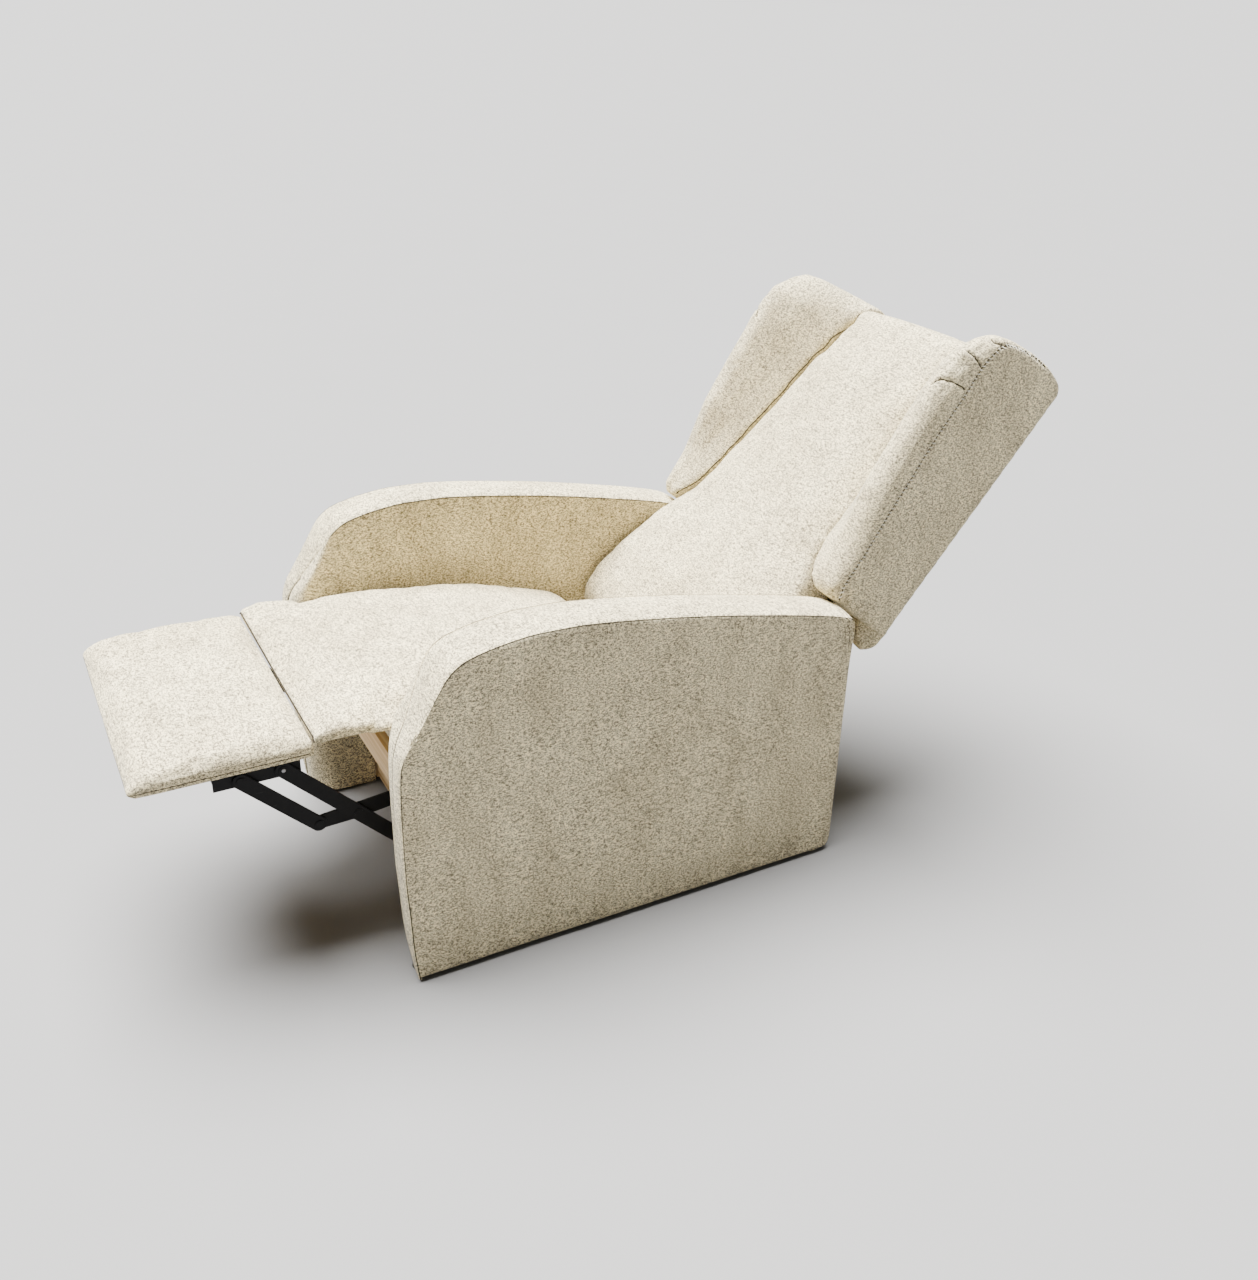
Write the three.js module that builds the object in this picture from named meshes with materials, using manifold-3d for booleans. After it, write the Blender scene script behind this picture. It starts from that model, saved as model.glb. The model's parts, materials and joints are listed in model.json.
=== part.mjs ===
// Wing recliner armchair with a folding footrest, drawn open: back reclined, footrest out.
// Millimetres. X runs across the chair with the sitter's left at +X, the front is -Y, Z is up.
import * as THREE from 'three';
import { mergeVertices } from 'three/addons/utils/BufferGeometryUtils.js';
import Module from 'manifold-3d';

const wasm = await Module();
wasm.setup();

// Overall sizes
const chairWidth = 700;
const openLength = 1672;
const armThickness = 95;
const backOverlap = 48; // each wing reaches this far over its arm
const cushionGap = 7; // between each side of the cushions and the arm

// Thicknesses
const coverThickness = 5;
const stripThickness = 32;
const steel = 3;
const layerGap = 1.5;
const touchGap = 0.3;
const railDepth = 60;
const gliderHeight = 5.7;

// Bars, pins and wire
const barRadius = 12.5;
const pinRadius = 4;
const boltRadius = 5;
const runningGap = 0.08;
const looseGap = 0.5;
const wireRadius = 1.8;

// Crowns of the soft pads
const seatCrown = 15;
const backCrown = 26;
const footrestCrown = 16;

// The side view is drawn for an open length of 1672 and scales with it
const side = openLength / 1672;
const at = (y, z) => [y * side, z * side];
const armInner = chairWidth / 2 - armThickness;
const seatPlateX = armInner - 33;
const innerLayerX = seatPlateX + steel + layerGap;
const outerLayerX = innerLayerX + steel + layerGap;
const swingLayerX = armInner - 3.5;
const drawnInner = 255; // the back's tables are drawn for this inner face of the arm
const widen = armInner - drawnInner;
const basePlateX = armInner + 1.9;
const woodX = armInner + coverThickness + touchGap;

// Pivots, as Y and Z
const pivots = {
  frontSwingBase: at(-556.92, 143.37),
  frontSwingTop: at(-600, 250),
  rearSwingBase: at(-256.92, 101.37),
  rearSwingTop: at(-300, 208),
  backHinge: at(-200, 290),
  controlBase: at(-148.5, 70),
  controlTop: at(-204.9, 257),
  mainBarSeat: at(-737.732, 302.528),
  followBarSeat: at(-678.513, 239.701),
  crossing: at(-880.116, 284.708),
  mainBarEnd: at(-944.067, 282.271),
  followBarEnd: at(-820.758, 223.026),
  lowerBarFootrest: at(-1054.119, 394.23),
  upperBarFootrest: at(-989.598, 396.765),
};

// Arm seen from the side, from the bottom of the front over the top to the rear corner
const armEdge = [
  [-833, 6], [-839, 70], [-842, 144], [-845, 219], [-845, 315], [-844, 370], [-841, 414],
  [-836, 430], [-816, 467], [-795, 502], [-777, 533], [-757, 564], [-734, 579], [-710, 586],
  [-664, 596], [-613, 601], [-552, 600], [-488, 594], [-402, 582], [-305, 566], [-189, 543],
  [-84, 520], [-28, 505], [-9, 498], [0, 486],
].map(([y, z]) => at(y, z));
const armLow = gliderHeight + touchGap;
armEdge[0][1] = armLow;
const armHeel = [at(0, 34), at(-8, 14), [-28 * side, armLow]];

// Place a point of the back: s runs up the rear panel, p forward from it
function backPoint(s, p) {
  return at(105 + 0.6296 * s - 0.7769 * p, 417 + 0.7769 * s + 0.6296 * p);
}

// Top of the wooden seat frame
function seatFrameTop(y) {
  return (345 - 0.1405 * (y / side + 800)) * side;
}

const colours = {
  fabric: 0xcdc5b3,
  wood: 0xd8b47f,
  steel: 0x19191b,
  spring: 0x8b8e92,
  plastic: 0x2a2a2b,
};
const group = new THREE.Group();

function add(name, geometry, colour) {
  const material = new THREE.MeshStandardMaterial({ color: colours[colour] });
  const mesh = new THREE.Mesh(geometry, material);
  mesh.name = name;
  group.add(mesh);
}

// Mirror a closed surface across X = 0 and keep its faces outward
function mirrored(geometry) {
  const copy = geometry.index ? geometry.toNonIndexed() : geometry.clone();
  const position = copy.attributes.position;
  const values = position.array;
  for (let i = 0; i < values.length; i += 9) {
    for (let k = 0; k < 3; k += 1) {
      const keep = values[i + 3 + k];
      values[i + 3 + k] = values[i + 6 + k];
      values[i + 6 + k] = keep;
    }
    values[i] *= -1;
    values[i + 3] *= -1;
    values[i + 6] *= -1;
  }
  copy.computeVertexNormals();
  return copy;
}

function addPair(name, geometry, colour) {
  add(`${name}_left`, geometry, colour);
  add(`${name}_right`, mirrored(geometry), colour);
}

// A flat plate drawn in Y and Z, reaching from X = low to X = high
function plate(outline, low, high) {
  const shape = new THREE.Shape(outline.map(([y, z]) => new THREE.Vector2(y, z)));
  const geometry = new THREE.ExtrudeGeometry(shape, { depth: high - low, bevelEnabled: false });
  const turn = new THREE.Matrix4().set(0, 0, 1, 0, 1, 0, 0, 0, 0, 1, 0, 0, 0, 0, 0, 1);
  geometry.applyMatrix4(turn);
  geometry.translate(low, 0, 0);
  return geometry;
}

function block(low, high) {
  const size = high.map((value, i) => value - low[i]);
  const geometry = new THREE.BoxGeometry(...size);
  geometry.translate(...high.map((value, i) => (value + low[i]) / 2));
  return geometry;
}

// A round pin along X
function pin([y, z], radius, low, high) {
  const geometry = new THREE.CylinderGeometry(radius, radius, high - low, 16);
  geometry.rotateZ(Math.PI / 2);
  geometry.translate((low + high) / 2, y, z);
  return geometry;
}

// The cutter for a hole whose flats clear a pin by the gap
function bore(centre, radius, gap, low, high) {
  return pin(centre, (radius + gap) / Math.cos(Math.PI / 16), low - 1, high + 1);
}

// The outline stretched round circles at the given points
function barOutline(points, radius) {
  const cloud = [];
  points.forEach(([y, z]) => {
    for (let i = 0; i < 20; i += 1) {
      const angle = (i / 20) * 2 * Math.PI;
      cloud.push([y + radius * Math.cos(angle), z + radius * Math.sin(angle)]);
    }
  });
  cloud.sort((a, b) => a[0] - b[0] || a[1] - b[1]);
  const turn = (o, a, b) => (a[0] - o[0]) * (b[1] - o[1]) - (a[1] - o[1]) * (b[0] - o[0]);
  const half = (list) => {
    const kept = [];
    list.forEach((point) => {
      while (kept.length > 1 && turn(kept[kept.length - 2], kept[kept.length - 1], point) <= 1e-6) {
        kept.pop();
      }
      kept.push(point);
    });
    kept.pop();
    return kept;
  };
  return [...half(cloud), ...half([...cloud].reverse())];
}

function toSolid(geometry) {
  const plain = geometry.clone();
  plain.deleteAttribute('normal');
  plain.deleteAttribute('uv');
  const merged = mergeVertices(plain, 1e-4);
  return new wasm.Manifold(new wasm.Mesh({
    numProp: 3,
    vertProperties: new Float32Array(merged.attributes.position.array),
    triVerts: new Uint32Array(merged.index.array),
  }));
}

// Join solids into one and cut the bores out of it
function joined(parts, bores = []) {
  let solid = toSolid(parts[0]);
  parts.slice(1).forEach((part) => {
    solid = solid.add(toSolid(part));
  });
  bores.forEach((cutter) => {
    solid = solid.subtract(toSolid(cutter));
  });
  const mesh = solid.getMesh();
  const geometry = new THREE.BufferGeometry();
  geometry.setAttribute('position', new THREE.BufferAttribute(mesh.vertProperties, 3));
  geometry.setIndex(new THREE.BufferAttribute(mesh.triVerts, 1));
  const plain = geometry.toNonIndexed();
  plain.computeVertexNormals();
  return plain;
}

// A closed skin over rings of equal length, each a list of [a, b] placed in space by its row
function loft(rings, place) {
  const points = rings.map((ring, row) => ring.map((pair) => place(row, pair)));
  const count = points[0].length;
  const faces = [];
  for (let row = 0; row + 1 < points.length; row += 1) {
    for (let i = 0; i < count; i += 1) {
      const next = (i + 1) % count;
      faces.push([points[row][i], points[row][next], points[row + 1][next]]);
      faces.push([points[row][i], points[row + 1][next], points[row + 1][i]]);
    }
  }
  [0, rings.length - 1].forEach((row) => {
    const flat = rings[row].map(([a, b]) => new THREE.Vector2(a, b));
    const flip = THREE.ShapeUtils.isClockWise(flat);
    THREE.ShapeUtils.triangulateShape(flat, []).forEach(([a, b, c]) => {
      const face = [points[row][a], points[row][b], points[row][c]];
      const reverse = (row === 0) !== flip;
      faces.push(reverse ? [face[0], face[2], face[1]] : face);
    });
  });
  const values = faces.flat(2);
  let volume = 0;
  faces.forEach(([a, b, c]) => {
    volume += a[0] * (b[1] * c[2] - b[2] * c[1]) - a[1] * (b[0] * c[2] - b[2] * c[0])
      + a[2] * (b[0] * c[1] - b[1] * c[0]);
  });
  const geometry = new THREE.BufferGeometry();
  geometry.setAttribute('position', new THREE.BufferAttribute(new Float32Array(values), 3));
  geometry.computeVertexNormals();
  if (volume > 0) {
    return geometry;
  }
  const turned = mirrored(geometry);
  turned.scale(-1, 1, 1);
  return turned;
}

// A wire of round section along points that lie in one plane with the given normal
function wire(path, normal) {
  const up = new THREE.Vector3(...normal).normalize();
  const rings = path.map((point, i) => {
    const here = new THREE.Vector3(...point);
    const before = new THREE.Vector3(...path[Math.max(i - 1, 0)]);
    const after = new THREE.Vector3(...path[Math.min(i + 1, path.length - 1)]);
    const arriving = i > 0 ? here.clone().sub(before).normalize() : after.clone().sub(here).normalize();
    const leaving = i + 1 < path.length ? after.clone().sub(here).normalize() : arriving.clone();
    const along = arriving.clone().add(leaving).normalize();
    const stretch = 1 / Math.max(along.dot(leaving), 0.4);
    const across = new THREE.Vector3().crossVectors(up, along);
    return [0, 1, 2, 3, 4, 5].map((k) => {
      const angle = (k / 6) * 2 * Math.PI;
      const spot = here.clone();
      spot.addScaledVector(across, wireRadius * stretch * Math.cos(angle));
      spot.addScaledVector(up, wireRadius * Math.sin(angle));
      return spot.toArray();
    });
  });
  const flat = [0, 1, 2, 3, 4, 5].map((k) => [Math.cos(k * Math.PI / 3), Math.sin(k * Math.PI / 3)]);
  return loft(rings.map(() => flat), (row, pair) => rings[row][flat.indexOf(pair)]);
}

// Zigzag runs side by side, joined at alternate ends, as [x, distance] pairs
function zigzag(start, end, runs, swing, steps) {
  const points = [];
  runs.forEach((x, run) => {
    for (let i = 0; i <= steps; i += 1) {
      const share = run % 2 === 0 ? i / steps : 1 - i / steps;
      const offset = i % 2 === 0 ? -swing : swing;
      points.push([x + offset, start + (end - start) * share]);
    }
  });
  return points;
}

// The inner line of a band that follows an open edge
function inset(edge, depth) {
  return edge.map(([y, z], i) => {
    const [ya, za] = edge[Math.max(i - 1, 0)];
    const [yb, zb] = edge[Math.min(i + 1, edge.length - 1)];
    const length = Math.hypot(yb - ya, zb - za);
    return [y + ((zb - za) / length) * depth, z - ((yb - ya) / length) * depth];
  });
}

// Arms: two covers, the strip over the front and top, and the wooden frame inside
const outerX = chairWidth / 2;
const stripHigh = outerX - coverThickness - touchGap;
addPair('arm_outer_cover', plate([...armEdge, ...armHeel], outerX - coverThickness, outerX), 'fabric');
const innerTop = armEdge.filter(([y]) => y > -797 * side);
const innerOutline = [
  [-797 * side, armLow], at(-797, 498), ...innerTop, at(0, 232), at(-712, 232), [-712 * side, armLow],
];
addPair('arm_inner_cover', plate(innerOutline, armInner, armInner + coverThickness), 'fabric');
const stripInner = inset(armEdge, stripThickness).map(([y, z]) => [Math.min(y, 0), Math.max(z, armLow)]);
const stripOutline = [...armEdge, ...stripInner.reverse()];
const stripBand = plate(stripOutline, woodX, stripHigh);

// The inner front corner of the arm is rounded in plan
const cornerRadius = 0.5 * armThickness;
const cornerY = -797 * side;
const cornerCut = [[woodX - 2, cornerY]];
for (let i = 0; i <= 8; i += 1) {
  const angle = (i / 8) * (Math.PI / 2);
  cornerCut.push([
    woodX + cornerRadius * (1 - Math.cos(angle)),
    cornerY - (48 * side) * Math.sin(angle),
  ]);
}
cornerCut.push([woodX + cornerRadius, -860 * side], [woodX - 2, -860 * side]);
const cutShape = new THREE.Shape(cornerCut.map(([x, y]) => new THREE.Vector2(x, y)));
const cutter = new THREE.ExtrudeGeometry(cutShape, { depth: 700 * side, bevelEnabled: false });
cutter.translate(0, 0, -20);
addPair('arm_strip', joined([stripBand], [cutter]), 'fabric');
const postOutline = [at(-708, 8), at(-676, 8), at(-676, 553), at(-708, 546)];
addPair('arm_front_post', plate(postOutline, woodX, woodX + 40), 'wood');
const rearOutline = [at(-40, 9), at(-10, 9), at(-10, 458), at(-40, 460)];
addPair('arm_rear_post', plate(rearOutline, woodX, stripHigh), 'wood');
const railOutline = [at(-670, 8), at(-42, 8), at(-42, 128), at(-670, 128)];
addPair('arm_bottom_rail', plate(railOutline, woodX, woodX + 20), 'wood');
const topRailOutline = [at(-670, 508), at(-42, 436), at(-42, 464), at(-670, 538)];
addPair('arm_top_rail', plate(topRailOutline, woodX, woodX + 30), 'wood');
[['front', -817], ['rear', -42]].forEach(([place, y]) => {
  const foot = new THREE.CylinderGeometry(12, 14, gliderHeight, 20);
  foot.rotateX(Math.PI / 2);
  foot.translate((woodX + outerX) / 2, y * side, gliderHeight / 2);
  addPair(`arm_glide_${place}`, foot, 'plastic');
});

// Rails that tie the two arms together
const railEnd = woodX - touchGap;
add('base_front_rail', block([-railEnd, -706 * side, 14], [railEnd, -684 * side, 74]), 'wood');
add('base_rear_rail', block([-railEnd, -36 * side, 14], [railEnd, -14 * side, 94]), 'wood');

// Steel base plate on each arm, with fixed pins for the three swinging bars
const baseLow = basePlateX;
const baseHigh = basePlateX + steel;
const basePlate = [
  plate(barOutline([at(-600, 75), at(-150, 70)], 28), baseLow, baseHigh),
  plate(barOutline([pivots.frontSwingBase, at(-557, 80)], 18), baseLow, baseHigh),
  plate(barOutline([pivots.rearSwingBase, at(-257, 80)], 18), baseLow, baseHigh),
];
[pivots.frontSwingBase, pivots.rearSwingBase, pivots.controlBase].forEach((centre) => {
  basePlate.push(pin(centre, boltRadius, swingLayerX - 1, baseHigh - 1));
  basePlate.push(pin(centre, boltRadius + 3, swingLayerX - 1.6, swingLayerX - 0.4));
});
addPair('base_plate', joined(basePlate), 'steel');

// Swinging bars between base and seat, and the bar that sets the angle of the back
function swingBar(name, low, high, topGap) {
  const body = plate(barOutline([low, high], barRadius + 1), swingLayerX, swingLayerX + steel);
  const holes = [
    bore(low, boltRadius, runningGap, swingLayerX, swingLayerX + steel),
    bore(high, boltRadius, topGap, swingLayerX, swingLayerX + steel),
  ];
  addPair(name, joined([body], holes), 'steel');
}
swingBar('front_swing_bar', pivots.frontSwingBase, pivots.frontSwingTop, runningGap);
swingBar('rear_swing_bar', pivots.rearSwingBase, pivots.rearSwingTop, looseGap);
swingBar('back_control_bar', pivots.controlBase, pivots.controlTop, looseGap);

// Steel side plate of the seat with its fixed pins
const seatHigh = seatPlateX + steel;
const seatPlate = [
  plate(barOutline([at(-752, 312), at(-190, 236)], 20), seatPlateX, seatHigh),
  plate(barOutline([pivots.followBarSeat, at(-668, 296)], 15), seatPlateX, seatHigh),
  plate(barOutline([pivots.frontSwingTop, at(-600, 290)], 15), seatPlateX, seatHigh),
  plate(barOutline([pivots.rearSwingTop, at(-300, 250)], 15), seatPlateX, seatHigh),
  plate(barOutline([pivots.backHinge, at(-205, 240)], 18), seatPlateX, seatHigh),
];
[pivots.frontSwingTop, pivots.rearSwingTop].forEach((centre) => {
  seatPlate.push(pin(centre, boltRadius, seatPlateX + 1, swingLayerX + steel + 0.2));
});
[pivots.mainBarSeat, pivots.followBarSeat, pivots.backHinge].forEach((centre) => {
  seatPlate.push(pin(centre, pinRadius, seatPlateX + 1, innerLayerX + steel + 0.8));
  seatPlate.push(pin(centre, pinRadius + 3, innerLayerX + steel + 0.4, innerLayerX + steel + 1.4));
});
addPair('seat_side_plate', joined(seatPlate), 'steel');

// Wooden seat frame
function frameStrip(front, rear) {
  const edge = [[front, 0], [rear, 0], [rear, -railDepth], [front, -railDepth]];
  return edge.map(([y, drop]) => [y, seatFrameTop(y) + drop]);
}
const seatRailX = seatPlateX - touchGap;
const sideRail = frameStrip(-810 * side, -215 * side);
addPair('seat_side_rail', plate(sideRail, seatRailX - 22, seatRailX), 'wood');
const crossEnd = seatRailX - 22 - touchGap;
add('seat_front_rail', plate(frameStrip(-809 * side, -787 * side), -crossEnd, crossEnd), 'wood');
add('seat_rear_rail', plate(frameStrip(-307 * side, -285 * side), -crossEnd, crossEnd), 'wood');

// Zigzag springs across the seat frame and the back frame
const springRuns = [-0.75, -0.25, 0.25, 0.75].map((share) => share * crossEnd);
const seatZigzag = zigzag(-800 * side, -292 * side, springRuns, 17, 15);
const seatWire = seatZigzag.map(([x, y]) => [x, y, seatFrameTop(y) + wireRadius + 0.5]);
add('seat_springs', wire(seatWire, [0, 0.139, 0.99]), 'spring');
const backZigzag = zigzag(-222, 524, springRuns, 17, 21);
const backWire = backZigzag.map(([x, s]) => [x, ...backPoint(s, 56.4)]);
add('back_springs', wire(backWire, [0, -0.7769, 0.6296]), 'spring');

// Seat cushion, in sections from front to rear: Y, then the height of its side edge
const seatSections = [
  [-845.5, 444], [-838, 450], [-811, 452], [-761, 449], [-696, 445], [-631, 437], [-569, 429],
  [-516, 418], [-471, 406], [-385, 381], [-325, 359], [-296, 341], [-282, 314],
];
const half = armInner - cushionGap;
const acrossShares = [1, 0.97, 0.7, 0.36, 0, -0.36, -0.7, -0.97, -1];
const crownShares = [-0.5, 0.1, 0.65, 0.9, 1, 0.9, 0.65, 0.1, -0.5];
const seatRings = seatSections.map(([y, edge]) => {
  const low = seatFrameTop(y * side) + 5.9;
  const crown = seatCrown * Math.min(1, Math.max(0.2, (-y - 270) / 200));
  const top = acrossShares.map((share, i) => [half * share, edge * side + crown * crownShares[i]]);
  return [[-half + 3, low], [half - 3, low], ...top];
});
add('seat_cushion', loft(seatRings, (row, [x, z]) => [x, seatSections[row][0] * side, z]), 'fabric');

// Knee flap between the seat and the footrest
const flapOutline = [
  [-940, 429], [-916, 433], [-846.8, 434], [-846.8, 456], [-866, 458], [-916, 456], [-940, 446],
].map(([y, z]) => at(y, z));
add('knee_flap', plate(flapOutline, -half + 1, half - 1), 'fabric');

// Footrest: board, pad and a steel angle on each side
const boardHalf = armInner - 35;
const padLow = pivots.upperBarFootrest[1] + barRadius + 0.735;
const boardTop = padLow - 0.6;
const boardLow = boardTop - 9;
const board = block([-boardHalf, -1203 * side, boardLow], [boardHalf, -956 * side, boardTop]);
add('footrest_board', board, 'wood');
const padSections = [
  [-941.6, 0, 24], [-955, 0, 28], [-1000, 0, 30], [-1080, 0, 31], [-1150, 0, 29],
  [-1190, 0.5, 24], [-1209, 2, 17], [-1217, 5, 11],
];
const padRings = padSections.map(([, low, edge], row) => {
  const rise = footrestCrown * [0.6, 0.85, 1, 1, 1, 0.95, 0.75, 0.5][row];
  const high = padLow + edge * side;
  const top = acrossShares.map((share, i) => [
    half * share, high + rise * (0.2 + 0.8 * crownShares[i]),
  ]);
  top[0][1] = high - 2;
  top[8][1] = high - 2;
  return [[-half + 4, padLow + low * side], [half - 4, padLow + low * side], ...top];
});
add('footrest_pad', loft(padRings, (row, [x, z]) => [x, padSections[row][0] * side, z]), 'fabric');
const angleLow = boardLow - touchGap - steel;
const angle = [
  block([innerLayerX, -1095 * side, 384 * side], [innerLayerX + steel, -962 * side, boardLow + 8]),
  block([innerLayerX - 26, -1095 * side, angleLow], [innerLayerX + 1, -975 * side, angleLow + steel]),
];
[pivots.lowerBarFootrest, pivots.upperBarFootrest].forEach((centre) => {
  angle.push(pin(centre, pinRadius, innerLayerX + 1, outerLayerX + steel + 0.8));
  angle.push(pin(centre, pinRadius + 3, outerLayerX + steel + 0.4, outerLayerX + steel + 1.4));
});
addPair('footrest_angle', joined(angle), 'steel');

// Four bars on each side that carry the footrest out and fold it down
function footrestBar(name, points, layer, pinned, holes) {
  const parts = [plate(barOutline(points, barRadius), layer, layer + steel)];
  pinned.forEach((centre) => {
    parts.push(pin(centre, pinRadius, layer + 1, outerLayerX + steel + 0.8));
    parts.push(pin(centre, pinRadius + 3, outerLayerX + steel + 0.4, outerLayerX + steel + 1.4));
  });
  const cutters = holes.map(([centre, gap]) => bore(centre, pinRadius, gap, layer, layer + steel));
  addPair(name, joined(parts, cutters), 'steel');
}
const p = pivots;
footrestBar('footrest_main_bar', [p.mainBarSeat, p.crossing, p.mainBarEnd], innerLayerX,
  [p.crossing, p.mainBarEnd], [[p.mainBarSeat, runningGap]]);
footrestBar('footrest_follow_bar', [p.followBarSeat, p.followBarEnd], innerLayerX,
  [p.followBarEnd], [[p.followBarSeat, runningGap]]);
footrestBar('footrest_upper_bar', [p.followBarEnd, p.crossing, p.upperBarFootrest], outerLayerX,
  [], [[p.crossing, runningGap], [p.followBarEnd, looseGap], [p.upperBarFootrest, runningGap]]);
footrestBar('footrest_lower_bar', [p.mainBarEnd, p.lowerBarFootrest], outerLayerX,
  [], [[p.mainBarEnd, runningGap], [p.lowerBarFootrest, looseGap]]);

// Back frame: posts, cross rails and the steel bracket that hangs on the back hinge
function backBlock(sLow, sHigh, pLow, pHigh, low, high) {
  const outline = [[sLow, pLow], [sHigh, pLow], [sHigh, pHigh], [sLow, pHigh]];
  return plate(outline.map(([s, q]) => backPoint(s, q)).reverse(), low, high);
}
const postHigh = innerLayerX - touchGap;
addPair('back_post', backBlock(-230, 530, 14, 54, postHigh - 26, postHigh), 'wood');
const backCross = postHigh - 26 - touchGap;
add('back_bottom_rail', backBlock(-229, -189, 14, 54, -backCross, backCross), 'wood');
add('back_top_rail', backBlock(490, 530, 14, 54, -backCross, backCross), 'wood');
const bracketLow = innerLayerX;
const bracketHigh = innerLayerX + steel;
const bracket = [
  plate(barOutline([p.backHinge, backPoint(-215, 60)], 18), bracketLow, bracketHigh),
  plate(barOutline([backPoint(-215, 42), backPoint(-90, 36)], 19), bracketLow, bracketHigh),
  plate(barOutline([p.backHinge, p.controlTop], 14), bracketLow, bracketHigh),
  pin(p.controlTop, boltRadius, bracketLow + 1, swingLayerX + steel + 0.2),
];
const hingeBore = bore(p.backHinge, pinRadius, runningGap, bracketLow, bracketHigh);
addPair('back_bracket', joined(bracket, [hingeBore]), 'steel');

// Back pad, in sections up the back: s, half width, front depth at the side, rear depth
const backSections = [
  [-286, 246, 219, 183], [-262, 248, 233, 181], [-205, 248, 238, 171], [-140, 248, 224, 150],
  [-82, 248, 204, 128], [-40, 247, 192, 108], [0, 236, 184, 88], [40, 216, 177, 70],
  [92, 203, 169, 60], [196, 194, 155, 60], [302, 186, 143, 60], [390, 179, 137, 60],
  [470, 172, 121, 60], [522, 167, 105, 60], [531, 165, 98, 60], [532, 165, 97, 7], [536, 163, 84, 7],
];
const backRings = backSections.map(([s, wide, front, rear]) => {
  const lower = s < -190 ? 0.1 : Math.min(1, 0.4 + (s + 190) / 250);
  const crown = backCrown * Math.min(1, Math.max(0.3, (536 - s) / 120)) * lower;
  const width = wide + widen;
  const top = acrossShares.map((share, i) => [
    width * share, front + crown * Math.max(0, crownShares[i] - 0.1),
  ]);
  const low = Math.max(rear, 7);
  return [[-width + 4, low], [width - 4, low], ...top];
});
add('back_pad', loft(backRings, (row, [x, q]) => [x, ...backPoint(backSections[row][0], q)]), 'fabric');

// Wings: s, depth of the outer seam, depth of the roll, depth at the pad, inner X
const wingSections = [
  [0, 150, 166, 176, 236], [14, 163, 180, 180, 229], [40, 166, 188, 176, 216],
  [92, 167, 198, 169, 203], [196, 177, 228, 155, 194], [302, 186, 242, 143, 186],
  [390, 196, 250, 137, 179], [432, 200, 250, 129, 175], [470, 201, 244, 121, 172],
  [510, 192, 216, 107, 168], [531, 178, 193, 97, 165], [532, 177, 192, 96, 165],
  [545, 146, 156, 84, 165], [556, 100, 110, 66, 168], [562, 52, 60, 40, 174],
];
const wingHigh = armInner + backOverlap;
const wingRings = wingSections.map(([s, seam, roll, meet, inner]) => {
  const x = inner + widen + 0.5;
  const span = wingHigh - x;
  const closed = s > 531.5 || s < 1;
  const rear = closed ? 6.7 : Math.max(62, meet - 66);
  return [
    [wingHigh, 6.7], [wingHigh, seam], [wingHigh - 3, seam + 0.55 * (roll - seam)],
    [wingHigh - 12, seam + 0.9 * (roll - seam)], [wingHigh - 24, roll], [wingHigh - 38, roll - 3],
    [x + 0.42 * span, meet + 0.62 * (roll - meet)], [x + 0.18 * span, meet + 0.25 * (roll - meet)],
    [x, meet], [x, rear], [wingHigh - 17, closed ? 6.7 : rear], [wingHigh - 17, 6.7],
  ];
});
wingRings.forEach((ring, row) => {
  const [s] = wingSections[row];
  if (s > 531.5 || s < 1) {
    ring[10] = [wingHigh - 18, 6.7];
  }
});
const wing = loft(wingRings, (row, [x, q]) => [x, ...backPoint(wingSections[row][0], q)]);
addPair('back_wing', wing, 'fabric');

// Rear panel of the back, drawn across X and up s
const panelHalf = [
  [240 + widen, -250], [248 + widen, -60], [250 + widen, -4], [wingHigh - 1, 0], [wingHigh, 480],
  [wingHigh - 3, 530], [wingHigh - 15, 549], [wingHigh - 41, 556], [205 + widen, 553],
  [165 + widen, 541],
];
const panelRing = [...panelHalf, ...panelHalf.map(([x, s]) => [-x, s]).reverse()];
const rearPanel = loft([panelRing, panelRing], (row, [x, s]) => [x, ...backPoint(s, row * 6.3)]);
add('back_rear_panel', rearPanel, 'fabric');

// Origin below the middle of the whole chair
group.updateMatrixWorld(true);
const bounds = new THREE.Box3().setFromObject(group);
const middle = (bounds.min.y + bounds.max.y) / 2;
group.children.forEach((mesh) => {
  mesh.geometry.translate(0, -middle, 0);
});

export default group;
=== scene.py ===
import json
import math
import bpy
import numpy as np
from mathutils import Matrix, Vector, noise
from mathutils.bvhtree import BVHTree


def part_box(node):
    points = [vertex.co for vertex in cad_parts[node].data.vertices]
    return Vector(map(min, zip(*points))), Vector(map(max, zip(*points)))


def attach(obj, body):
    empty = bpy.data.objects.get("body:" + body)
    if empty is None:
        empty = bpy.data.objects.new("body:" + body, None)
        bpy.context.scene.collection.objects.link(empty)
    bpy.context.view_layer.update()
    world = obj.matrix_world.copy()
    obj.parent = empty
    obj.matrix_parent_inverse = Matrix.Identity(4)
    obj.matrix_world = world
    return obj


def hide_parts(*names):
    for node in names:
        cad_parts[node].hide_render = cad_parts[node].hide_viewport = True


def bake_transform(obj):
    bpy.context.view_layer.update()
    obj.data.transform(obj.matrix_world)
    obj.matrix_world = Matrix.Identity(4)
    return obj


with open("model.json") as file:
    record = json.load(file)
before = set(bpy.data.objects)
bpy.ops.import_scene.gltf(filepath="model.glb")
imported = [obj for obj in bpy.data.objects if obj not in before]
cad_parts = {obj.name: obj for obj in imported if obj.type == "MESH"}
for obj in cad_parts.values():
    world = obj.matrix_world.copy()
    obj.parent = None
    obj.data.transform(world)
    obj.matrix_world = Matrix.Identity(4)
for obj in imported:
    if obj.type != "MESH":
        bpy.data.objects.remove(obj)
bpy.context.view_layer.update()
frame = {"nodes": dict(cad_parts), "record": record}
nodes = frame["nodes"]
mm = 0.001
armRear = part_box("arm_outer_cover_left")[1][1]  # the arms' rear face, where the side drawing has y = 0
print("frame loaded")


def at(y, z):
    return (y * mm + armRear, z * mm)


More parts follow.
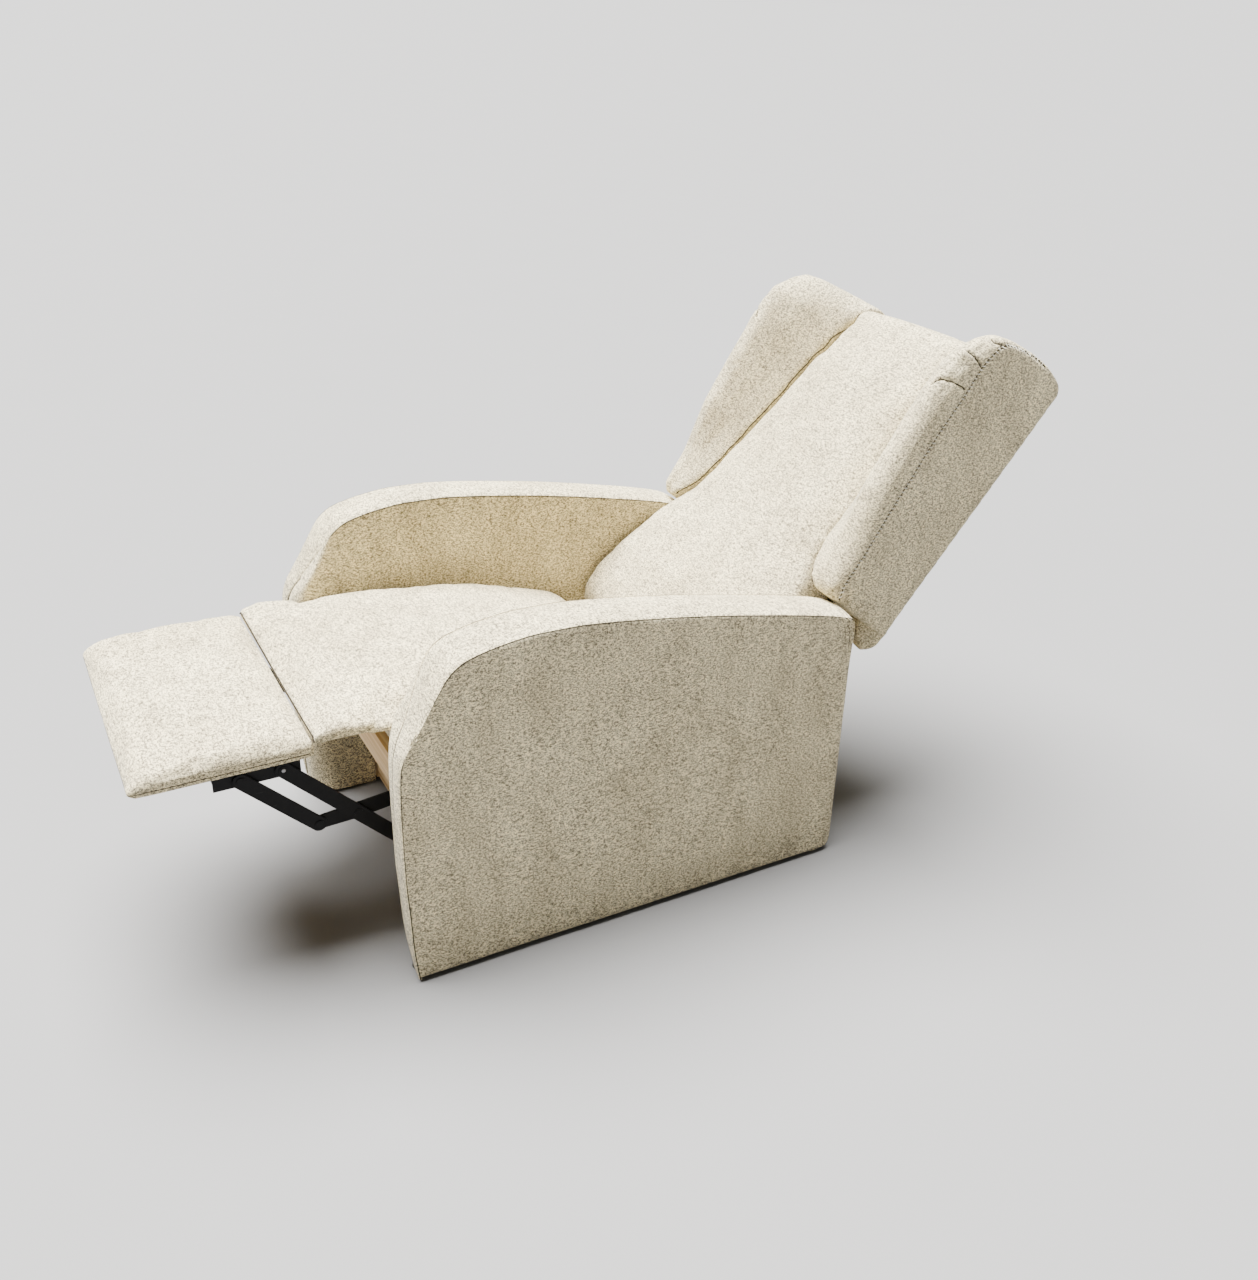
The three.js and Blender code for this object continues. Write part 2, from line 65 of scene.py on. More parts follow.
def backPoint(s, p):  # s runs up the rear panel, p forward from it
    return at(105 + 0.6296 * s - 0.7769 * p, 417 + 0.7769 * s + 0.6296 * p)


# the camera looks down at the chair from its left front, places in millimetres
shot = {"azimuth": 61.18, "elevation": 27.29, "roll": 1.54, "place": (1895.62, -1307.65, 1467.08),
        "focal": 1256.99}


def addCamera():
    a, e, roll = (math.radians(shot[k]) for k in ("azimuth", "elevation", "roll"))
    back = Vector((math.sin(a) * math.cos(e), -math.cos(a) * math.cos(e), math.sin(e)))
    right = (-back).cross(Vector((0, 0, 1))).normalized()
    up = right.cross(-back)
    sideways = math.cos(roll) * right + math.sin(roll) * up
    upwards = -math.sin(roll) * right + math.cos(roll) * up
    y, z = at(*shot["place"][1:])
    place = Vector((shot["place"][0] * mm, y, z))
    data = bpy.data.cameras.new("camera")
    data.sensor_width = 36
    data.lens = 36 * shot["focal"] / 1280
    camera = bpy.data.objects.new("camera", data)
    bpy.context.scene.collection.objects.link(camera)
    turn = Matrix((sideways, upwards, back)).transposed().to_4x4()
    camera.matrix_world = Matrix.Translation(place) @ turn
    bpy.context.scene.camera = camera


addCamera()
print("camera placed")


# a node tree under construction, with short names for the nodes that repeat
class Graph:
    def __init__(self, name):
        self.material = bpy.data.materials.new(name)
        self.material.use_nodes = True
        self.nodes = self.material.node_tree.nodes
        self.links = self.material.node_tree.links
        self.shader = self.nodes["Principled BSDF"]

    def add(self, kind, values=None, **inputs):
        node = self.nodes.new(kind)
        for key, value in (values or {}).items():
            setattr(node, key, value)
        for key, value in inputs.items():
            self.put(node, key, value)
        return node

    def put(self, node, key, value):
        socket = node.inputs[int(key[1:]) if key[0] == "i" and key[1:].isdigit() else key.replace("_", " ")]
        if isinstance(value, bpy.types.NodeSocket):
            self.links.new(value, socket)
        else:
            socket.default_value = value

    def mapped(self, scale):
        place = self.add("ShaderNodeTexCoord").outputs["Object"]
        return self.add("ShaderNodeMapping", None, Vector=place, Scale=scale).outputs[0]

    def noise(self, scale, detail=2.0, roughness=0.5, stretch=(1, 1, 1), distortion=0.0):
        return self.add("ShaderNodeTexNoise", None, Vector=self.mapped(stretch), Scale=scale, Detail=detail,
                        Roughness=roughness, Distortion=distortion).outputs[0]

    def ramp(self, factor, stops):
        node = self.add("ShaderNodeValToRGB", None, Fac=factor)
        for element, (place, colour) in zip(node.color_ramp.elements, (stops[0], stops[-1])):
            element.position = place
            element.color = (*colour, 1)
        for place, colour in stops[1:-1]:
            element = node.color_ramp.elements.new(place)
            element.color = (*colour, 1)
        return node.outputs[0]

    def math(self, what, a, b):
        return self.add("ShaderNodeMath", {"operation": what}, i0=a, i1=b).outputs[0]

    def mix(self, factor, a, b, how="MIX"):
        node = self.add("ShaderNodeMix", {"data_type": "RGBA", "blend_type": how})
        self.put(node, "i0", factor)
        self.put(node, "i6", a)
        self.put(node, "i7", b)
        return node.outputs[2]

    def bump(self, height, strength, distance, before=None):
        node = self.add("ShaderNodeBump", None, Height=height, Strength=strength, Distance=distance)
        if before is not None:
            self.put(node, "Normal", before)
        return node.outputs[0]

    def finish(self, colour, roughness, normal=None, **constants):
        self.put(self.shader, "Base_Color", colour)
        self.put(self.shader, "Roughness", roughness)
        if normal is not None:
            self.put(self.shader, "Normal", normal)
        for key, value in constants.items():
            self.put(self.shader, key, value)
        return self.material


cloth = {"dark": (0.13, 0.110, 0.073), "middle": (0.475, 0.415, 0.28), "light": (0.92, 0.80, 0.49)}


def melangeFabric():
    g = Graph("melange fabric")
    across = g.noise(1.0, 4, 0.7, (180, 460, 560))
    upright = g.noise(1.0, 4, 0.7, (520, 210, 470))
    yarn = g.math("ADD", g.math("MULTIPLY", across, 0.5), g.math("MULTIPLY", upright, 0.5))
    streaks = g.math("ADD", g.noise(1.0, 4, 0.66, (80, 250, 290)), g.noise(1.0, 4, 0.66, (260, 110, 270)))
    slub = g.math("MULTIPLY", streaks, 0.5)
    cloud = g.noise(1.0, 4, 0.6, (20, 20, 9))
    drift = g.noise(5, 2, 0.5)
    mixed = g.math("ADD", g.math("MULTIPLY", yarn, 0.72), g.math("MULTIPLY", slub, 0.28))
    colour = g.ramp(mixed, [(0.453, cloth["dark"]), (0.496, cloth["middle"]), (0.539, cloth["light"])])
    shade = g.ramp(cloud, [(0.33, (0.84, 0.83, 0.82)), (0.67, (1.10, 1.10, 1.09))])
    colour = g.mix(1.0, colour, shade, "MULTIPLY")
    tint = g.ramp(drift, [(0.35, (0.93, 0.92, 0.91)), (0.65, (1.05, 1.05, 1.05))])
    colour = g.mix(1.0, colour, tint, "MULTIPLY")
    weave = g.noise(1.0, 2, 0.6, (900, 1300, 1300))
    fine = g.bump(weave, 0.35, 0.0007)
    fine = g.bump(yarn, 0.55, 0.0013, fine)
    soft = g.bump(slub, 0.3, 0.0018, fine)
    wave = g.bump(cloud, 0.16, 0.004, soft)
    rough = g.ramp(slub, [(0.3, (0.83,) * 3), (0.7, (0.96,) * 3)])
    return g.finish(colour, rough, wave, Sheen_Weight=0.12, Sheen_Roughness=0.5, Specular_IOR_Level=0.25)


# makes a thread material: the pale one is real stitching thread, the near-black one paints the shade in
# seams, folds and creases
def threadAndGrooveShade(name, colour, sheen):
    g = Graph(name)
    twist = g.noise(1500, 2)
    shade = g.ramp(twist, [(0.3, tuple(c * 0.6 for c in colour)), (0.7, colour)])
    return g.finish(shade, 0.85, g.bump(twist, 0.5, 0.0003), Sheen_Weight=sheen, Specular_IOR_Level=0.1)


def blackSteel():
    g = Graph("black steel")
    grain = g.noise(320, 4, 0.6)
    scuff = g.noise(38, 5, 0.65, (1, 0.5, 1.6))
    worn = g.ramp(scuff, [(0.64, (0.006, 0.006, 0.0065)), (0.78, (0.035, 0.034, 0.033))])
    rough = g.ramp(grain, [(0.35, (0.42,) * 3), (0.65, (0.58,) * 3)])
    return g.finish(worn, rough, g.bump(grain, 0.16, 0.0004), Specular_IOR_Level=0.1)


def pineWood(name, along, lean=0.0):  # along is 0, 1 or 2, the axis that the grain follows
    g = Graph(name)

    def grain(fine, long, detail):
        stretch = [fine] * 3
        stretch[along] = long
        coordinate = g.add("ShaderNodeTexCoord")
        turned = g.add("ShaderNodeMapping", None, Vector=coordinate.outputs["Object"], Rotation=(lean, 0, 0))
        scaled = g.add("ShaderNodeMapping", None, Vector=turned.outputs[0], Scale=stretch)
        grainNoise = g.add("ShaderNodeTexNoise", None, Vector=scaled.outputs[0], Scale=1.0, Detail=detail)
        return grainNoise.outputs[0]

    rings = grain(75, 2.2, 2)
    fibre = grain(520, 14, 4)
    colour = g.ramp(rings, [(0.3, (0.56, 0.345, 0.15)), (0.45, (0.76, 0.53, 0.27)),
                            (0.7, (0.86, 0.66, 0.39))])
    streak = g.ramp(fibre, [(0.3, (0.84, 0.81, 0.76)), (0.7, (1.05, 1.04, 1.02))])
    colour = g.mix(1.0, colour, streak, "MULTIPLY")
    knots = g.add("ShaderNodeTexVoronoi", None, Vector=g.mapped((1, 1, 1)), Scale=5.5).outputs[0]
    spot = g.ramp(knots, [(0.03, (0.30, 0.15, 0.06)), (0.085, (1, 1, 1))])
    colour = g.mix(1.0, colour, spot, "MULTIPLY")
    return g.finish(colour, 0.72, g.bump(fibre, 0.35, 0.0006), Specular_IOR_Level=0.3)


def plyWood():
    g = Graph("plywood")
    figure = g.noise(16, 5, 0.6, (1, 0.14, 1), 0.8)
    fibre = g.noise(420, 3, 0.6, (1, 0.05, 1))
    colour = g.ramp(figure, [(0.3, (0.50, 0.34, 0.18)), (0.7, (0.72, 0.54, 0.33))])
    streak = g.ramp(fibre, [(0.3, (0.85, 0.83, 0.8)), (0.7, (1.04, 1.03, 1.02))])
    colour = g.mix(1.0, colour, streak, "MULTIPLY")
    return g.finish(colour, 0.7, g.bump(fibre, 0.3, 0.0004), Specular_IOR_Level=0.3)


def springWire():
    g = Graph("spring wire")
    grain = g.noise(500, 3, 0.6)
    colour = g.ramp(g.noise(30, 3), [(0.35, (0.20, 0.20, 0.21)), (0.65, (0.38, 0.38, 0.39))])
    rough = g.ramp(grain, [(0.3, (0.28,) * 3), (0.7, (0.5,) * 3)])
    return g.finish(colour, rough, g.bump(grain, 0.2, 0.0003), Metallic=0.9)


def darkPlastic():
    g = Graph("dark plastic")
    grain = g.noise(900, 2, 0.5)
    colour = g.ramp(g.noise(60, 3), [(0.3, (0.022, 0.022, 0.023)), (0.7, (0.04, 0.04, 0.041))])
    return g.finish(colour, 0.55, g.bump(grain, 0.35, 0.0003))


finishes = {
    "fabric": melangeFabric(),
    "black_steel": blackSteel(),
    "pine": pineWood("pine across", 0),
    "plywood": plyWood(),
    "spring_steel": springWire(),
    "plastic": darkPlastic(),
}
# near-black lines laid in seams, folds, pleats and creases paint the shade that falls in their grooves
paintedGrooveShade = threadAndGrooveShade("painted groove shade", (0.03, 0.024, 0.017), 0.0)
seamPale = threadAndGrooveShade("pale thread", (0.88, 0.83, 0.68), 0.2)

slotOf = {entry["node"]: entry["material_slot"] for entry in frame["record"]["subparts"]}
for nodeName, node in nodes.items():
    if not node.data.materials:
        node.data.materials.append(finishes[slotOf[nodeName]])
    for i in range(len(node.material_slots)):
        node.material_slots[i].material = finishes[slotOf[nodeName]]
pineRuns = {
    pineWood("pine lengthwise", 1): ("seat_side_rail", "arm_bottom_rail", "arm_top_rail"),
    pineWood("pine upright", 2): ("arm_front_post", "arm_rear_post"),
    pineWood("pine leaning", 2, math.radians(39)): ("back_post",),
}
for material, names in pineRuns.items():
    for nodeName in [f"{name}_{label}" for name in names for label in ("left", "right")]:
        nodes[nodeName].material_slots[0].material = material
print("materials made")


def deselectAll():
    if bpy.context.object and bpy.context.object.mode != "OBJECT":
        bpy.ops.object.mode_set(mode="OBJECT")
    bpy.ops.object.select_all(action="DESELECT")


def makeActive(piece):
    deselectAll()
    piece.select_set(True)
    bpy.context.view_layer.objects.active = piece


def coordinates(piece):
    flat = np.empty(len(piece.data.vertices) * 3)
    piece.data.vertices.foreach_get("co", flat)
    return flat.reshape(-1, 3)


def setCoordinates(piece, points):
    piece.data.vertices.foreach_set("co", np.asarray(points, dtype=float).ravel())
    piece.data.update()


def normalsOf(piece):
    flat = np.empty(len(piece.data.vertices) * 3)
    piece.data.vertices.foreach_get("normal", flat)
    return flat.reshape(-1, 3)


def applyModifier(piece, kind, **settings):
    makeActive(piece)
    modifier = piece.modifiers.new(kind.lower(), kind)
    for key, value in settings.items():
        setattr(modifier, key, value)
    bpy.ops.object.modifier_apply(modifier=modifier.name)


def editAll(piece, *steps):
    makeActive(piece)
    bpy.ops.object.mode_set(mode="EDIT")
    for step in steps:
        bpy.ops.mesh.select_all(action="SELECT")
        step()
    bpy.ops.object.mode_set(mode="OBJECT")


def tidyNormals():
    bpy.ops.mesh.normals_make_consistent(inside=False)


def dress(piece, material, angle=60):
    piece.data.materials.clear()
    piece.data.materials.append(material)
    makeActive(piece)
    bpy.ops.object.shade_smooth_by_angle(angle=math.radians(angle))


def gridPiece(name, points, away):
    rows, columns = points.shape[:2]
    deselectAll()
    bpy.ops.mesh.primitive_grid_add(x_subdivisions=columns - 1, y_subdivisions=rows - 1, size=1,
                                    location=(0, 0, 0))
    piece = bpy.context.object
    piece.name = piece.data.name = name
    assert len(piece.data.vertices) == rows * columns
    setCoordinates(piece, points.reshape(-1, 3))
    centres = np.array([tuple(face.center) for face in piece.data.polygons])
    facing = np.array([tuple(face.normal) for face in piece.data.polygons])
    if ((centres - np.array(away)) * facing).sum() < 0:
        editAll(piece, bpy.ops.mesh.flip_normals)
    return piece


def smoothPath(points, shares):
    points = np.array(points, dtype=float)
    steps = np.r_[0, np.cumsum(np.linalg.norm(np.diff(points, axis=0), axis=1))]
    steps /= steps[-1]
    rise = np.diff(points, axis=0) / np.diff(steps)[:, None]
    slopes = np.vstack([rise[:1], np.zeros((len(points) - 2, points.shape[1])), rise[-1:]])
    before, after = np.diff(steps)[:-1, None], np.diff(steps)[1:, None]
    same = rise[:-1] * rise[1:] > 0
    blend = (before + after) * 3 / ((2 * after + before) / np.where(same, rise[:-1], 1)
                                    + (after + 2 * before) / np.where(same, rise[1:], 1))
    slopes[1:-1] = np.where(same, blend, 0)  # keeps the curve from swinging past its points
    shares = np.atleast_1d(shares)
    k = np.clip(np.searchsorted(steps, shares, side="right") - 1, 0, len(points) - 2)
    h = (steps[k + 1] - steps[k])[:, None]
    t = ((shares - steps[k]) / (steps[k + 1] - steps[k]))[:, None]
    return ((2 * t**3 - 3 * t**2 + 1) * points[k] + (t**3 - 2 * t**2 + t) * h * slopes[k]
            + (-2 * t**3 + 3 * t**2) * points[k + 1] + (t**3 - t**2) * h * slopes[k + 1])


def stepsWithEdges(length, middle, edge=(0, 1.2, 2.6, 4.4, 7, 11)):
    near = np.array(edge) / length
    return np.r_[near, np.linspace(near[-1], 1 - near[-1], middle)[1:-1], 1 - near[::-1]]


def rounded(distance, radius):  # 1 at the edge, falling to 0 a radius in
    t = np.clip(1 - distance / radius, 0, 1)
    return 1 - np.sqrt(1 - t**2)


def ripple(points, scale, seed):
    shift = Vector((seed, seed * 0.7, 0))
    return np.array([noise.noise(Vector(p) * scale + shift) for p in points])


def polylineDistance(points, line):
    line = np.array(line)
    best = np.full(len(points), 1e9)
    for a, b in zip(line[:-1], line[1:]):
        run = b - a
        t = np.clip(((points - a) @ run) / max(run @ run, 1e-12), 0, 1)
        best = np.minimum(best, np.linalg.norm(points - (a + t[:, None] * run), axis=1))
    return best


def treeOf(piece):
    return BVHTree.FromPolygons([tuple(point) for point in coordinates(piece)],
                                [tuple(face.vertices) for face in piece.data.polygons])


def onSurface(piece, line):
    tree = treeOf(piece)
    hits = [tree.find_nearest(Vector(point)) for point in line]
    return np.array([tuple(hit[0]) for hit in hits]), np.array([tuple(hit[1]) for hit in hits])


def sink(piece, line, depth, width):
    points = coordinates(piece)
    near = polylineDistance(points, line)
    push = depth * mm * np.exp(-(near / (width * mm)) ** 2)
    setCoordinates(piece, points - normalsOf(piece) * push[:, None])


# lays a thin tube along a line; all callers give it the near-black material, so it paints the shade in a
# seam, fold or crease
def shadeLineAlong(name, line, radius, material, body):
    curve = bpy.data.curves.new(name, "CURVE")
    curve.dimensions = "3D"
    curve.bevel_depth = radius * mm
    curve.bevel_resolution = 1
    curve.use_fill_caps = True
    spline = curve.splines.new("POLY")
    spline.points.add(len(line) - 1)
    for point, place in zip(spline.points, line):
        point.co = (*place, 1)
    piece = bpy.data.objects.new(name, curve)
    bpy.context.scene.collection.objects.link(piece)
    makeActive(piece)
    bpy.ops.object.convert(target="MESH")
    piece = bpy.context.object
    dress(piece, material)
    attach(piece, body)
    return piece


# the side view of an arm as (y, z) in millimetres, y = 0 at its rear face
arm = {
    "edge": [(-833, 6), (-839, 70), (-842, 144), (-845, 219), (-845, 315), (-844, 370), (-841, 414),
             (-834, 438), (-816, 467), (-795, 502), (-777, 533), (-757, 562), (-734, 579), (-710, 587),
             (-664, 596), (-613, 601), (-552, 600), (-488, 594), (-402, 582), (-305, 566), (-189, 543),
             (-84, 520), (-28, 505), (-9, 498)],
    "rear": [(-9, 498), (0, 486), (0, 400), (0, 200), (0, 40), (-1.2, 20), (-4.5, 10.5), (-11, 5.7),
             (-20, 5.9), (-44, 6)],
    "corner": 8,
    "outer": 350,
    "inner": 255,
    "frontSeam": 308,
    "seamDip": 3.4,
    "crown": 4.5,
    "roundDepth": 48,
    "shadeLineDepth": 1.3,
    "skin": 3.5,
    "innerLow": 225,
    "openFrom": -712,
    "folds": [[(-17, 488), (-13, 466), (-11, 442)], [(-9, 478), (-7, 452)], [(-26, 490), (-23, 474)]],
}


def innerSeamX(y, z):
    share = np.clip((z - 410) / 165, 0, 1)
    share = share * share * (3 - 2 * share)
    low = arm["frontSeam"] + 30 * np.clip((110 - z) / 104, 0, 1) ** 1.5
    x = low + (arm["inner"] - low) * share
    return np.where(y > -690, arm["inner"], x)


def armPatch(us, vs):
    edge = arm["edge"]
    left = smoothPath(edge[:arm["corner"] + 1], vs)
    top = smoothPath(edge[arm["corner"]:], us)
    rearEdge = [(-11, 5.7), (-1.2, 20), (0, 40), (0, 150), (0, 300), (0, 400), (0, 486), (-9, 498)]
    right = smoothPath(rearEdge, vs)
    bottom = smoothPath([(-833, 6), (-600, 6), (-300, 6), (-44, 6), (-11, 5.7)], us)
    u, v = us[None, :, None], vs[:, None, None]
    flat = (1 - v) * bottom[None] + v * top[None] + (1 - u) * left[:, None] + u * right[:, None]
    corners = ((1 - u) * (1 - v) * bottom[0] + u * (1 - v) * bottom[-1]
               + (1 - u) * v * top[0] + u * v * top[-1])
    return flat - corners


def placed(x, flat, side):
    y, z = flat[..., 0], flat[..., 1]
    return np.stack([side * x * mm, y * mm + armRear, z * mm], axis=-1)


def armOuterPanel(side, label):
    us = stepsWithEdges(845, 96, (0, 1.2, 2.6, 4.4, 7, 11, 16, 22, 29, 37))
    vs = stepsWithEdges(500, 62)
    flat = armPatch(us, vs)
    u, v = np.broadcast_arrays(us[None, :] * 845, vs[:, None] * 500)
    seam = np.maximum(rounded(u, 6), rounded(500 - v, 6))
    wrap = np.maximum(rounded(845 - u, 14), rounded(v, 12))
    pillow = 3.0 * np.sin(np.pi * u / 845) ** 0.6 * np.sin(np.pi * v / 500) ** 0.6
    x = arm["outer"] - 1.6 + pillow - arm["seamDip"] * seam - 9 * wrap
    wave = ripple(np.stack([u, v, 0 * u], axis=-1).reshape(-1, 3), 0.006, 3 + side).reshape(u.shape)
    x = x + 1.3 * wave * (1 - seam) * (1 - wrap)
    gather = np.exp(-((845 - u) / 26) ** 2) * np.exp(-((500 - v) / 70) ** 2) * (1 - seam)
    x = x + 5.5 * gather * np.sin((845 - u) * 0.5 + v * 0.03)
    piece = gridPiece(f"arm_outer_panel_{label}", placed(x, flat, side), (side * 0.3, armRear - 0.42, 0.25))
    applyModifier(piece, "SOLIDIFY", thickness=arm["skin"] * mm, offset=-1)
    return piece


def armStrip(side, label):
    path = arm["edge"] + arm["rear"][1:]
    shares = np.linspace(0, 1, 330)
    line = smoothPath(path, shares)
    slope = np.gradient(line, axis=0)
    slope /= np.linalg.norm(slope, axis=1)[:, None]
    out = np.stack([-slope[:, 1], slope[:, 0]], axis=1)
    y, z = line[:, 0], line[:, 1]
    rear = np.clip((y + 30) / 25, 0, 1) * np.clip((505 - z) / 20, 0, 1)
    low = innerSeamX(y, z) + 0.8
    high = arm["outer"] - 2.4 - 7 * rear
    vs = stepsWithEdges(90, 16)
    across = high[:, None] + (low - high)[:, None] * vs[None, :]
    width = np.abs(high - low)[:, None]
    toEdge = np.minimum(vs, 1 - vs)[None, :] * width
    crown = arm["crown"] * (width / 90) * (1 - (2 * vs[None, :] - 1) ** 2)
    lift = crown - arm["seamDip"] * rounded(toEdge, 6)
    grid = line[:, None, :] + out[:, None, :] * lift[..., None]
    wave = ripple(np.stack([np.broadcast_to(shares[:, None] * 1900, lift.shape), across, 0 * lift], axis=-1)
                  .reshape(-1, 3), 0.012, 9 + side).reshape(lift.shape)
    grid = grid + out[:, None, :] * (0.9 * wave * np.clip(toEdge / 20, 0, 1))[..., None]
    away = (side * 0.3, armRear - 0.42, 0.25)
    piece = gridPiece(f"arm_strip_cover_{label}", placed(across, grid, side), away)
    applyModifier(piece, "SOLIDIFY", thickness=arm["skin"] * mm, offset=-1)
    return piece


def armInnerPanel(side, label):
    us = stepsWithEdges(845, 96, (0, 1.2, 2.6, 4.4, 7, 11, 15, 20, 26, 33, 41, 50))
    vs = stepsWithEdges(500, 62)
    flat = armPatch(us, vs)
    y, z = flat[..., 0], flat[..., 1]
    u, v = np.broadcast_arrays(us[None, :] * 845, vs[:, None] * 500)
    seamX = innerSeamX(y, z)
    x = arm["inner"] + (seamX - arm["inner"]) * rounded(np.minimum(u, 500 - v), arm["roundDepth"])
    seam = np.maximum(rounded(u, 6), rounded(500 - v, 6))
    x = x + arm["seamDip"] * seam * 0.7 - 0.4 - 1.2 * np.sin(np.pi * u / 845) * np.sin(np.pi * v / 500)
    flat = flat.copy()
    flat[..., 0] += 1.5 * rounded(u, 5)
    piece = gridPiece(f"arm_inner_panel_{label}", placed(x, flat, side), (side * 0.3, armRear - 0.42, 0.25))
    makeActive(piece)
    bpy.ops.object.mode_set(mode="EDIT")
    openFrom, low = at(arm["openFrom"], arm["innerLow"])  # the arm is open behind and below this
    for place, direction in (((0, openFrom, 0), (0, 1, 0)), ((0, 0, low), (0, 0, 1))):
        bpy.ops.mesh.select_all(action="SELECT")
        bpy.ops.mesh.bisect(plane_co=place, plane_no=direction)
    bpy.ops.mesh.select_all(action="DESELECT")
    bpy.ops.object.mode_set(mode="OBJECT")
    for face in piece.data.polygons:
        face.select = face.center.y > openFrom and face.center.z < low
    bpy.ops.object.mode_set(mode="EDIT")
    bpy.ops.mesh.select_mode(type="FACE")
    bpy.ops.mesh.delete(type="FACE")
    bpy.ops.mesh.select_mode(type="VERT")
    bpy.ops.object.mode_set(mode="OBJECT")
    applyModifier(piece, "SOLIDIFY", thickness=arm["skin"] * mm, offset=-1)
    return piece


# the seam is real; the near-black line sunk into it paints the shade in the seam's groove
def armSeamShade(side, label, name, xAt, ends):
    line = smoothPath(arm["edge"] + arm["rear"][1:], np.linspace(0, ends, 300))
    slope = np.gradient(line, axis=0)
    slope /= np.linalg.norm(slope, axis=1)[:, None]
    inward = line + np.stack([slope[:, 1], -slope[:, 0]], axis=1) * arm["shadeLineDepth"]
    shadeLineAlong(f"{name}_{label}", placed(xAt(line[:, 0], line[:, 1]), inward, side), 0.9, paintedGrooveShade, "base")


for side, label in ((1, "left"), (-1, "right")):
    armSeamShade(side, label, "arm_outer_seam_shade", lambda y, z: arm["outer"] - 2.9 + 0 * y, 0.72)
    armSeamShade(side, label, "arm_inner_seam_shade", lambda y, z: innerSeamX(y, z) + 0.2, 0.72)
    for make, node in ((armOuterPanel, "arm_outer_cover"), (armStrip, "arm_strip"),
                       (armInnerPanel, "arm_inner_cover")):
        piece = make(side, label)
        if make is armOuterPanel:
            outerPanel = piece
        editAll(piece, tidyNormals)
        dress(piece, finishes["fabric"])
        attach(piece, "base")
        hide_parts(f"{node}_{label}")
    # near-black lines along the gathered folds at the arm's rear top corner paint the shade in them
    for k, fold in enumerate(arm["folds"]):
        line = smoothPath([(arm["outer"] - 0.2, y, z) for y, z in fold], np.linspace(0, 1, 16))
        line, facing = onSurface(outerPanel, [(side * x * mm, *at(y, z)) for x, y, z in line])
        shadeLineAlong(f"arm_fold_shade_{label}_{k + 1}", line - facing * 0.0003, 0.8, paintedGrooveShade, "base")
print("arms covered")


def mergedCopy(name, sources):
    deselectAll()
    copies = []
    for source in sources:
        piece = bpy.data.objects.new(name, nodes[source].data.copy())
        bpy.context.scene.collection.objects.link(piece)
        piece.select_set(True)
        copies.append(piece)
    bpy.context.view_layer.objects.active = copies[0]
    if len(copies) > 1:
        bpy.ops.object.join()
    piece = bpy.context.view_layer.objects.active
    piece.name = piece.data.name = name
    piece.parent = None
    editAll(piece, lambda: bpy.ops.mesh.remove_doubles(threshold=1e-5), tidyNormals)
    return piece


filling = {"quality": 4, "mass": 0.3, "stretch": 18, "shear": 6, "bending": 0.6, "shrink": -0.012}


def blowUp(piece, pressure, frames):
    makeActive(piece)
    modifier = piece.modifiers.new("filling", "CLOTH")
    settings = modifier.settings
    settings.quality = filling["quality"]
    settings.mass = filling["mass"]
    settings.tension_stiffness = settings.compression_stiffness = filling["stretch"]
    settings.shear_stiffness = filling["shear"]
    settings.bending_stiffness = filling["bending"]
    settings.use_pressure = True
    settings.uniform_pressure_force = pressure
    settings.shrink_min = filling["shrink"]
    settings.effector_weights.gravity = 0
    modifier.collision_settings.use_collision = False
    modifier.point_cache.frame_start = 1
    modifier.point_cache.frame_end = frames
    scene = bpy.context.scene
    for number in range(1, frames + 1):
        scene.frame_set(number)
    shown = piece.evaluated_get(bpy.context.evaluated_depsgraph_get())
    flat = np.empty(len(shown.data.vertices) * 3)
    shown.data.vertices.foreach_get("co", flat)
    piece.modifiers.remove(modifier)
    scene.frame_set(1)
    return flat.reshape(-1, 3)


def padFrom(name, sources, setting, limit):
    piece = mergedCopy(name, sources)
    applyModifier(piece, "REMESH", mode="VOXEL", voxel_size=setting["voxel"])
    applyModifier(piece, "SMOOTH", factor=0.6, iterations=setting["soften"])
    before = coordinates(piece)
    normals = normalsOf(piece)
    room = limit(before, normals) * mm
    move = blowUp(piece, setting["pressure"], setting["frames"]) - before
    size = np.linalg.norm(move, axis=1)
    scale = room * np.tanh(size / np.maximum(room, 1e-6)) / np.maximum(size, 1e-9)
    setCoordinates(piece, before + move * scale[:, None])
    applyModifier(piece, "SMOOTH", factor=0.5, iterations=2)
    applyModifier(piece, "SUBSURF", levels=1, render_levels=1)
    return piece


def stretchEnd(piece, start, end, top):  # moves the far end to a set place, leaving the rest
    points = coordinates(piece)
    y = points[:, 1]
    far = y.min() if end < start else y.max()
    share = np.clip((y - start) / (far - start), 0, 1)
    points[:, 1] = y + share * (end - far)
    if top:
        near = np.clip(1 - np.abs(points[:, 1] - end) / 0.012, 0, 1)
        near = near * np.clip(normalsOf(piece)[:, 2] * 2, 0, 1)
        points[:, 2] += top * mm * near
    setCoordinates(piece, points)


def toBack(points):  # s and p of points, in millimetres
    y = (points[:, 1] - armRear) / mm - 105
    z = points[:, 2] / mm - 417
    return y * 0.6296 + z * 0.7769, -(y * 0.7769 - z * 0.6296)


# the cushion and the knee flap are merged into one cover
seat = {"voxel": 0.0065, "soften": 4, "pressure": 4.0, "frames": 20}


def seatRoom(points, normals):
    y = (points[:, 1] - armRear) / mm
    top = np.clip(normals[:, 2], 0, 1)
    knee = np.clip((y + 950) / 130, 0, 1)
    return 1.5 + top * (3 + 8 * knee)


